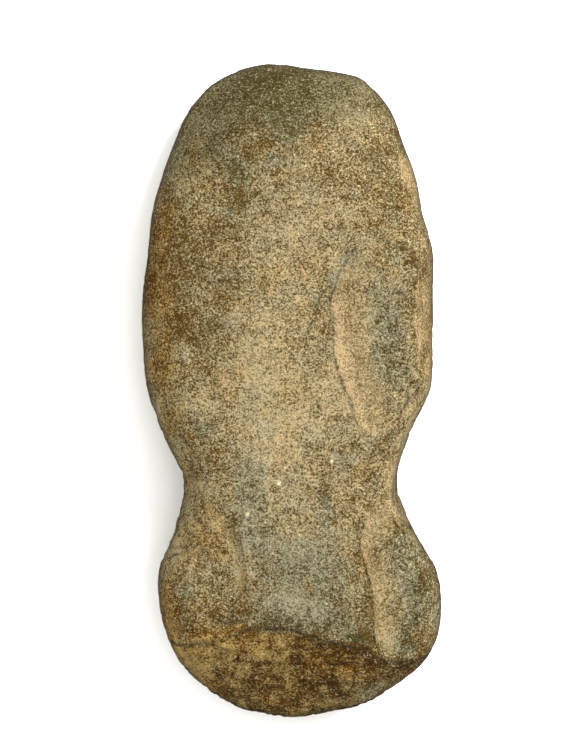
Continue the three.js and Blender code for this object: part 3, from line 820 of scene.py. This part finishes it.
class Signal:
    """One output in a material. Arithmetic on it adds Math nodes."""

    def __init__(self, shader, socket):
        self.shader = shader
        self.socket = socket

    def math(self, operation, first, second):
        """A Math node on two values."""
        return self.shader.add("ShaderNodeMath", {"operation": operation}, {0: first, 1: second})

    def __add__(self, other):
        return self.math("ADD", self, other)

    def __radd__(self, other):
        return self.math("ADD", other, self)

    def __sub__(self, other):
        return self.math("SUBTRACT", self, other)

    def __rsub__(self, other):
        return self.math("SUBTRACT", other, self)

    def __mul__(self, other):
        return self.math("MULTIPLY", self, other)

    def between(self, low, high):
        """0 below low, 1 above high, and an S between them, by a Map Range node."""
        settings = {"interpolation_type": "SMOOTHSTEP", "clamp": True}
        inputs = {0: self, 1: low, 2: high, 3: 0.0, 4: 1.0}
        return self.shader.add("ShaderNodeMapRange", settings, inputs)

    def swing(self, weight):
        """How far a noise lies above or below its middle, times a weight."""
        return (self - 0.5) * weight


class Shader:
    """A new material's node tree, with one method that adds any node."""

    def __init__(self, name):
        self.material = bpy.data.materials.new(name)
        self.material.use_nodes = True
        self.tree = self.material.node_tree
        self.surface = self.tree.nodes["Principled BSDF"]
        self.place = self.add("ShaderNodeTexCoord", {}, {}, "Object")

    def fill(self, node, inputs):
        """Sets a node's sockets to values, or links them to signals."""
        for key, value in inputs.items():
            if isinstance(value, Signal):
                self.tree.links.new(value.socket, node.inputs[key])
            else:
                node.inputs[key].default_value = value

    def add(self, kind, settings, inputs, output=0):
        """Adds a node with its settings, then its sockets' values or links."""
        node = self.tree.nodes.new(kind)
        for key, value in settings.items():
            setattr(node, key, value)
        self.fill(node, inputs)
        return Signal(self, node.outputs[output])

    def noise(self, size, detail, offset=0.0):
        """Noise of about the given size, in metres, from 0 to 1."""
        place = self.add("ShaderNodeVectorMath", {"operation": "ADD"}, {0: self.place, 1: (offset,) * 3})
        return self.add("ShaderNodeTexNoise", {}, {"Vector": place, "Scale": 1 / size, "Detail": detail})

    def mask(self, name):
        """One of the piece's masks."""
        settings = {"attribute_type": "GEOMETRY", "attribute_name": name}
        return self.add("ShaderNodeAttribute", settings, {}, "Fac")

    def mix(self, factor, first, second):
        """Two colours mixed by a factor. A Mix node's colours are its sockets 6 and 7, and output 2."""
        return self.add("ShaderNodeMix", {"data_type": "RGBA"}, {0: factor, 6: first, 7: second}, 2)


def solid(colour):
    """A colour with its alpha, as a socket takes it."""
    return (*colour, 1.0)


# The balance between dark and light grains: its middle and its span, how far each noise swings it,
# how each mask tips it, and how much less dust and sand swing it on grey stone
BALANCE = 0.495
BALANCE_SPAN = (-0.3, 1.3)
SWINGS = {"dust": 2.5, "sand": 2.0, "grain": 0.8, "clumps": 0.9, "clouds": 1.2, "blotches": 1.6}
# The deep mask's tip is painted shade: it darkens pits, peck marks, creases and terrace lips
TIPS = {"pale": 0.5, "dark": -0.55, "deep": -0.5, "fresh": 0.15}
GREY_CALM = 0.3

# How far the colours of a mask cover the stone's own, and those of a scar's floor
COVER = 0.9
FLOOR_COVER = 0.7

# Leanings of the stone's colours and marks on them: where each starts and is whole, and its strength
MARKS = {
    "rusty": (0.5, 0.72, 0.35), "greenish": (0.5, 0.28, 0.4),
    "pits": (0.62, 0.72, 0.6), "flecks": (0.64, 0.74, 0.4), "crystal": (0.3, 0.6, 1.0),
    # rim and line are painted shade: along the rim and along the arrises
    "rim": (0.2, 0.85, 0.65), "line": (0.1, 0.7, 0.75),
}

# What noise makes of the painted shade along the rim and along the arrises: a factor, and how far it
# rises
RIM_LEAST, RIM_TEAR = 0.6, 0.8
LINE_LEAST, LINE_TEAR = -0.5, 2.6

# How high dust and grain stand and how deep pits lie; and the roughness, its swing, and what the
# bevel lacks of it
DUST_BUMP, GRAIN_BUMP, PIT_BUMP = 0.5, 0.8, 0.8
ROUGHNESS, ROUGHNESS_SWING, BEVEL_POLISH = 0.86, 0.2, 0.2


def stone_material(tints):
    """The stone: dark and light grains, whose two colours and whose balance the masks change.

    The light grains' share is the balance by smoothstep: its middle, plus what each noise and each
    mask adds. Marks are then laid over the colour.
    """
    s = Shader("weathered_greenstone")
    dust = s.noise(size=0.00045, detail=0.0)
    sand = s.noise(size=0.0008, detail=3.0, offset=0.71)
    grain = s.noise(size=0.0013, detail=2.0, offset=0.31)
    clumps = s.noise(size=0.0045, detail=4.0, offset=0.57)
    clouds = s.noise(size=0.02, detail=4.0, offset=0.83)
    tinge = s.noise(size=0.006, detail=2.0, offset=0.11)

    layers = [
        (mark(tinge, "rusty"), tints.umber, tints.ochre),
        (mark(tinge, "greenish"), tints.slate, tints.sage),
        (ragged(s.mask("bevel"), clouds) * COVER, tints.moss, tints.olive),
        (ragged(s.mask("poll_end"), clumps) * COVER, tints.bark, tints.russet),
        (ragged(s.mask("floor"), clumps) * FLOOR_COVER, tints.slate, tints.sage),
        (ragged(s.mask("fresh"), clumps) * COVER, tints.clay, tints.fawn),
        (ragged(s.mask("grey"), clumps) * COVER, tints.slate, tints.sage),
        (ragged(s.mask("rust"), clumps) * COVER, tints.umber, tints.ochre),
    ]
    dark, light = solid(tints.brown), solid(tints.tan)
    for share, dark_tint, light_tint in layers:
        dark = s.mix(share, dark, solid(dark_tint))
        light = s.mix(share, light, solid(light_tint))

    fine = dust.swing(SWINGS["dust"]) + sand.swing(SWINGS["sand"])
    blotches = s.mask("poll_end") * (1.0 - s.mask("dark")) * clumps.swing(SWINGS["blotches"])
    balance = BALANCE + fine * (1.0 - s.mask("grey") * GREY_CALM) + blotches
    for noise, name in ((grain, "grain"), (clumps, "clumps"), (clouds, "clouds")):
        balance = balance + noise.swing(SWINGS[name])
    for mask, tip in TIPS.items():
        balance = balance + s.mask(mask) * tip
    colour = s.mix(balance.between(*BALANCE_SPAN), dark, light)

    calm = 1.0 - s.mask("fresh") * WORN_CALM
    pits = s.noise(size=0.0009, detail=1.0, offset=0.19)
    flecks = s.noise(size=0.0009, detail=1.0, offset=0.47)
    marks = [
        (mark(pits, "pits") * calm, tints.bark),
        (mark(flecks, "flecks") * calm, tints.cream),
        (mark(grain, "crystal") * s.mask("crystal"), tints.cream),
        # Painted shade along the rim and along the arrises, in the painted shade colour
        (mark(s.mask("rim") * (clumps * RIM_TEAR + RIM_LEAST), "rim"), tints.soil),
        (mark(s.mask("line") * (grain * LINE_TEAR + LINE_LEAST), "line"), tints.soil),
    ]
    for share, mark_tint in marks:
        colour = s.mix(share, colour, solid(mark_tint))

    pitted = pits.between(*MARKS["pits"][:2]) * calm
    height = dust * DUST_BUMP + grain * GRAIN_BUMP - pitted * PIT_BUMP
    bump = s.add("ShaderNodeBump", {}, {"Strength": 0.6, "Distance": 0.0003, "Height": height})
    roughness = ROUGHNESS - s.mask("bevel") * BEVEL_POLISH + grain.swing(ROUGHNESS_SWING)
    finish = {"Base Color": colour, "Roughness": roughness, "Normal": bump, "Specular IOR Level": 0.05}
    s.fill(s.surface, finish)
    return s.material


def mark(signal, name):
    """How strongly a mark shows where its noise or its mask has this value."""
    low, high, strength = MARKS[name]
    return signal.between(low, high) * strength


def ragged(mask, breakup, gain=1.4, swing=1.3, span=(0.1, 1.0), onset=(0.0, 0.2)):
    """A mask whose edge is broken up by a noise's swing, but which stays nothing where the mask is."""
    return (mask * gain + breakup.swing(swing)).between(*span) * mask.between(*onset)


class AXE_OT_head(bpy.types.Operator):
    """Carve the stone axe head"""

    bl_idname = "axe.carve_head"
    bl_label = "Carve the head"

    def execute(self, context):
        form, relief = context.scene.axe_form, context.scene.axe_relief
        piece = make_piece("axe_head_stone", *head_surface(form, relief))
        piece.data.materials.append(stone_material(context.scene.axe_tints))
        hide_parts(NODE)
        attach(piece, BODY)
        return {"FINISHED"}


class AXE_OT_stage(bpy.types.Operator):
    """Set up the floor, the lights and the camera"""

    bl_idname = "axe.dress_stage"
    bl_label = "Dress the stage"

    def execute(self, context):
        stage = context.scene.axe_stage
        rim_height = context.scene.axe_form.rim_height
        floor = make_floor(stage)
        floor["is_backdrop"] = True
        light_stage(context.scene, stage)
        camera = bpy.data.cameras.new("camera")
        camera.lens = camera.sensor_width * stage.camera_height / stage.view_height
        eye = bpy.data.objects.new("camera", camera)
        eye.location = (stage.view_right, stage.view_up, rim_height + stage.camera_height)
        context.scene.collection.objects.link(eye)
        context.scene.camera = eye
        develop(context.scene.view_settings)
        return {"FINISHED"}


def make_floor(stage):
    """A square floor just under the stone, in a matt pale paint."""
    half = stage.floor_size / 2
    corners = [(-half, -half, 0), (half, -half, 0), (half, half, 0), (-half, half, 0)]
    mesh = bpy.data.meshes.new("floor")
    mesh.from_pydata(corners, [], [(0, 1, 2, 3)])
    floor = bpy.data.objects.new("floor", mesh)
    bpy.context.scene.collection.objects.link(floor)
    s = Shader("pale_floor")
    s.fill(s.surface, {"Base Color": solid(stage.floor), "Roughness": 0.9, "Specular IOR Level": 0.1})
    mesh.materials.append(s.material)
    return floor


def develop(view):
    """Plain colours, whose lightest tones are lifted to white as in a photograph on white."""
    view.view_transform = "Standard"
    view.use_curve_mapping = True
    view.curve_mapping.extend = "HORIZONTAL"
    tones = view.curve_mapping.curves[ALL_CHANNELS].points
    for level, shown in WHITE_CURVE:
        tones.new(level, shown)
    for tone in tones:
        tone.handle_type = "VECTOR"
    view.curve_mapping.update()


def light_stage(scene, stage):
    """A pale sky all round, and one large soft lamp from the upper right."""
    world = bpy.data.worlds.new("sky")
    world.use_nodes = True
    glow = world.node_tree.nodes["Background"].inputs
    glow["Strength"].default_value = stage.sky
    glow["Color"].default_value = (1, 1, 1, 1)
    scene.world = world
    lamp = bpy.data.lights.new("key", "AREA")
    lamp.energy = stage.key
    lamp.size = stage.key_size
    key = bpy.data.objects.new("key", lamp)
    key.location = stage.key_place
    key.rotation_euler = (-Vector(key.location)).to_track_quat("-Z", "Y").to_euler()
    scene.collection.objects.link(key)


class AXE_PT_parts(bpy.types.Panel):
    """The sizes and colours, and a button for each part"""

    bl_idname = "AXE_PT_parts"
    bl_label = "Axe head"
    bl_space_type = "VIEW_3D"
    bl_region_type = "UI"
    bl_category = "Axe head"

    def draw(self, context):
        for group in GROUPS:
            settings = getattr(context.scene, group)
            box = self.layout.box()
            for name in settings.bl_rna.properties.keys():
                if name not in {"rna_type", "name"}:
                    box.prop(settings, name)
        for part in PARTS:
            self.layout.operator(part.bl_idname)


GROUPS = {
    "axe_form": AXE_PG_form,
    "axe_relief": AXE_PG_relief,
    "axe_tints": AXE_PG_tints,
    "axe_stage": AXE_PG_stage,
}
PARTS = (AXE_OT_head, AXE_OT_stage)


def register():
    """Registers the classes and hangs their settings on the scene."""
    for made in (*GROUPS.values(), *PARTS, AXE_PT_parts):
        bpy.utils.register_class(made)
    for name, group in GROUPS.items():
        setattr(bpy.types.Scene, name, PointerProperty(type=group))


def unregister():
    """Takes away what register added."""
    for name in GROUPS:
        delattr(bpy.types.Scene, name)
    for made in (AXE_PT_parts, *PARTS, *GROUPS.values()):
        bpy.utils.unregister_class(made)


def main():
    """Makes every part in order, and gathers the solid's box and the finished piece's box."""
    register()
    bpy.ops.axe.carve_head()
    bpy.ops.axe.dress_stage()
    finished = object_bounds()
    sizes = {
        "solid": [list(SOLID_LOW), list(SOLID_HIGH)],
        "visual": [list(corner) for corner in finished],
    }


if __name__ == "__main__":
    main()
